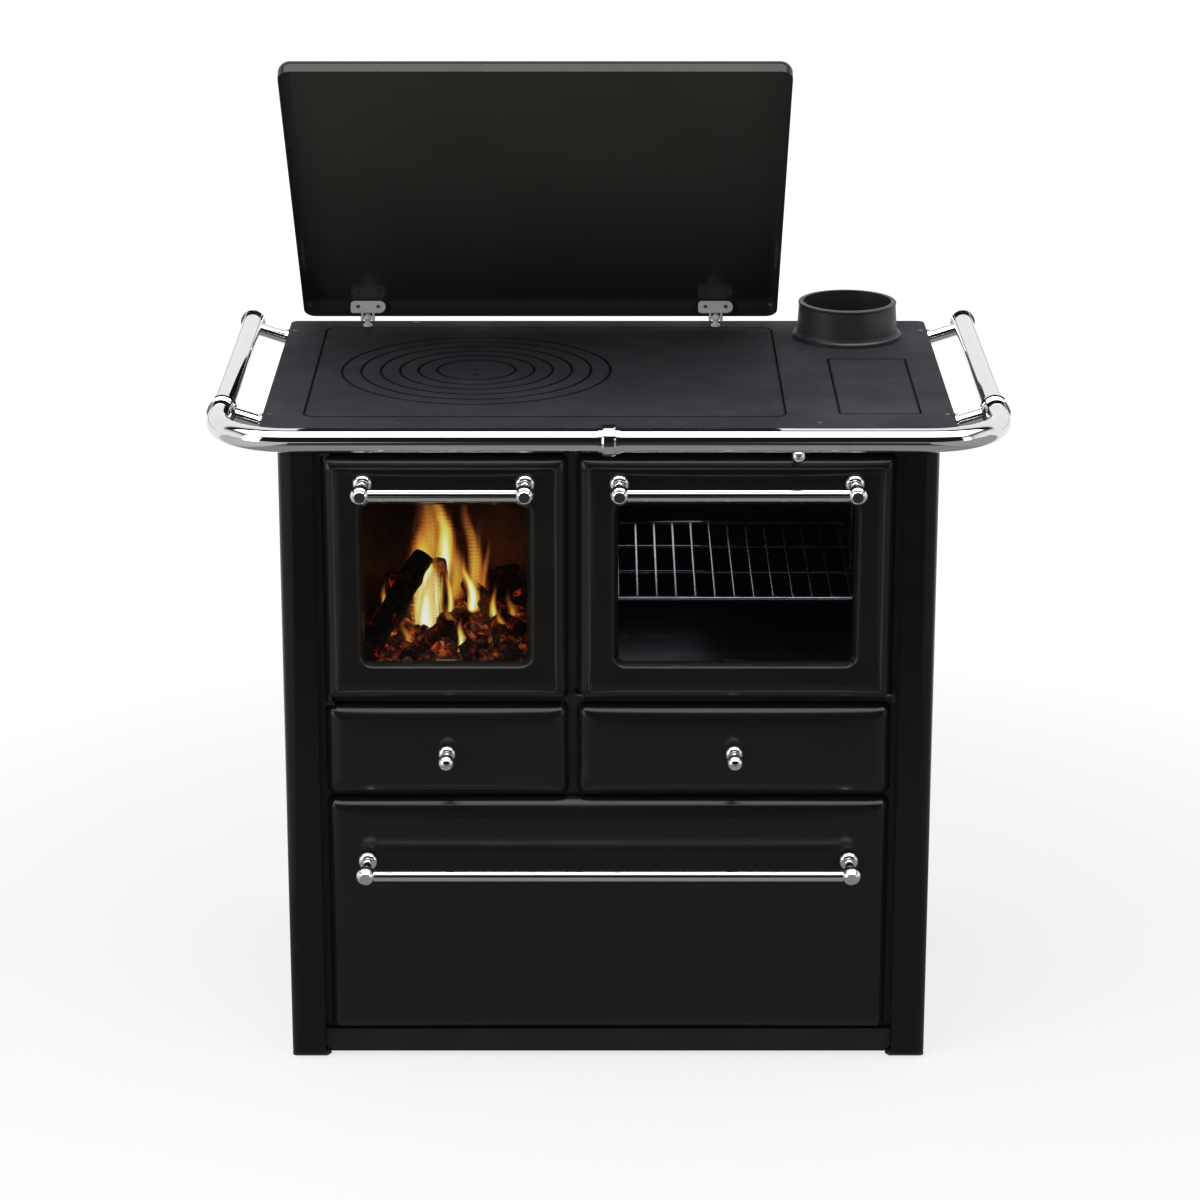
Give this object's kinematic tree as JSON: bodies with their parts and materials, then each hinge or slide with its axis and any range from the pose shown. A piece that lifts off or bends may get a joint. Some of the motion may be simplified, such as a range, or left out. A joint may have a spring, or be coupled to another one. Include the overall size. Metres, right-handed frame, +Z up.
{
  "type": "wood cookstove",
  "caption": "Free-standing black wood-burning kitchen range with hob rings, glazed fire and oven doors, three drawers, a folding lid, a flue collar and a chrome towel rail.",
  "frame": {"origin": "on the floor, in the middle of the outline at rest with the lid half open", "axes": "+X to the right as seen from the front, +Y to the back, +Z up; the doors face -Y"},
  "size_m": [1.0188, 0.664, 1.2986],
  "materials": {
    "cast_iron_cooktop": "fine cast texture, blackened",
    "cast_iron_collar": "satin stove paint on cast iron",
    "cast_iron_grate": "rough cast",
    "enamel_fronts": "gloss black vitreous enamel",
    "enamel_sides": "gloss black vitreous enamel",
    "enamel_lid": "gloss black vitreous enamel",
    "enamel_oven": "dark blue-black oven enamel with fine speckle",
    "painted_frame": "satin blue-black paint",
    "painted_feet": "matt black paint",
    "galvanised_back": "zinc-coated sheet",
    "steel_inner": "plain rolled sheet",
    "steel_firebox": "heat-darkened steel",
    "door_inner": "matt black heat-proof paint",
    "steel_trays": "dark grey powder coat",
    "steel_fittings": "zinc-plated",
    "fireclay": "sooted fireclay",
    "rope_seal": "braided glass-fibre rope",
    "door_glass": "clear heat-proof glass",
    "chrome_rail": "polished chrome",
    "chrome_handles": "polished chrome",
    "chrome_wire": "bright wire",
    "nickel_hinges": "bright nickel"
  },
  "bodies": {
    "stove_body": {"cooktop_frame": "cast_iron_cooktop", "hob_plate": "cast_iron_cooktop", "flue_collar": "cast_iron_collar", "side_panel_left": "enamel_sides", "side_panel_right": "enamel_sides", "foot_runners": "painted_feet", "back_panel": "galvanised_back", "base_frame": "painted_frame", "front_frame": "painted_frame", "lower_deck": "steel_inner", "middle_deck": "steel_inner", "drawer_runners": "steel_inner", "door_hinge_brackets": "steel_fittings", "firebox_casing": "steel_firebox", "firebricks": "fireclay", "fire_grate": "cast_iron_grate", "oven_box": "enamel_oven", "oven_shelf": "chrome_wire", "oven_racks": "chrome_wire", "smoke_baffle": "steel_inner", "rail_tubes": "chrome_rail", "rail_coupling": "chrome_rail", "rail_collars_and_caps": "chrome_rail", "rail_arms": "chrome_rail", "lid_posts": "nickel_hinges"},
    "fire_door": {"fire_door_front": "enamel_fronts", "fire_door_inner_frame": "door_inner", "fire_door_glass": "door_glass", "fire_door_glass_clips": "steel_fittings", "fire_door_seal": "rope_seal", "fire_door_handle_bar": "chrome_handles", "fire_door_handle_mounts": "chrome_handles"},
    "oven_door": {"oven_door_front": "enamel_fronts", "oven_door_inner_frame": "door_inner", "oven_door_glass": "door_glass", "oven_door_glass_clips": "steel_fittings", "oven_door_seal": "rope_seal", "oven_door_handle_bar": "chrome_handles", "oven_door_handle_mounts": "chrome_handles"},
    "ash_drawer": {"ash_drawer_front": "enamel_fronts", "ash_drawer_tray": "steel_trays", "ash_drawer_knob": "chrome_handles"},
    "pan_drawer": {"pan_drawer_front": "enamel_fronts", "pan_drawer_tray": "steel_trays", "pan_drawer_knob": "chrome_handles"},
    "wood_drawer": {"wood_drawer_front": "enamel_fronts", "wood_drawer_tray": "steel_trays", "wood_drawer_handle_bar": "chrome_handles", "wood_drawer_handle_mounts": "chrome_handles"},
    "damper": {"damper_slide": "steel_fittings", "damper_knob": "chrome_handles"},
    "lid": {"lid_pan": "enamel_lid", "lid_hinge_plates": "nickel_hinges"},
    "cleanout": {"cleanout_plate": "cast_iron_cooktop"},
    "centre_lid": {"hob_centre_lid": "cast_iron_cooktop"},
    "ring_1": {"hob_ring_1": "cast_iron_cooktop"},
    "ring_2": {"hob_ring_2": "cast_iron_cooktop"},
    "ring_3": {"hob_ring_3": "cast_iron_cooktop"},
    "ring_4": {"hob_ring_4": "cast_iron_cooktop"},
    "ring_5": {"hob_ring_5": "cast_iron_cooktop"}
  },
  "joints": [
    {"name": "fire_door_hinge", "type": "hinge", "parent": "stove_body", "child": "fire_door", "pos_m": [-0.358, -0.2145, 0.6645], "axis": [0, 0, -1], "range_deg": [0, 105]},
    {"name": "oven_door_hinge", "type": "hinge", "parent": "stove_body", "child": "oven_door", "pos_m": [0.16225, -0.2145, 0.507], "axis": [1, 0, 0], "range_deg": [0, 90]},
    {"name": "ash_drawer_slide", "type": "slide", "parent": "stove_body", "child": "ash_drawer", "axis": [0, -1, 0], "range_m": [0, 0.3]},
    {"name": "pan_drawer_slide", "type": "slide", "parent": "stove_body", "child": "pan_drawer", "axis": [0, -1, 0], "range_m": [0, 0.22]},
    {"name": "wood_drawer_slide", "type": "slide", "parent": "stove_body", "child": "wood_drawer", "axis": [0, -1, 0], "range_m": [0, 0.36]},
    {"name": "damper_pull", "type": "slide", "parent": "stove_body", "child": "damper", "axis": [0, -1, 0], "range_m": [0, 0.06]},
    {"name": "lid_hinge", "type": "hinge", "parent": "stove_body", "child": "lid", "pos_m": [-0.093, 0.298, 0.882], "axis": [-1, 0, 0], "range_deg": [-48, 50]},
    {"name": "cleanout_lift", "type": "slide", "parent": "stove_body", "child": "cleanout", "axis": [0, 0, 1], "range_m": [0, 0.08]},
    {"name": "ring_5_lift", "type": "slide", "parent": "stove_body", "child": "ring_5", "axis": [0, 0, 1], "range_m": [0, 0.05]},
    {"name": "ring_4_lift", "type": "slide", "parent": "ring_5", "child": "ring_4", "axis": [0, 0, 1], "range_m": [0, 0.05]},
    {"name": "ring_3_lift", "type": "slide", "parent": "ring_4", "child": "ring_3", "axis": [0, 0, 1], "range_m": [0, 0.05]},
    {"name": "ring_2_lift", "type": "slide", "parent": "ring_3", "child": "ring_2", "axis": [0, 0, 1], "range_m": [0, 0.05]},
    {"name": "ring_1_lift", "type": "slide", "parent": "ring_2", "child": "ring_1", "axis": [0, 0, 1], "range_m": [0, 0.05]},
    {"name": "centre_lid_lift", "type": "slide", "parent": "ring_1", "child": "centre_lid", "axis": [0, 0, 1], "range_m": [0, 0.05]}
  ]
}
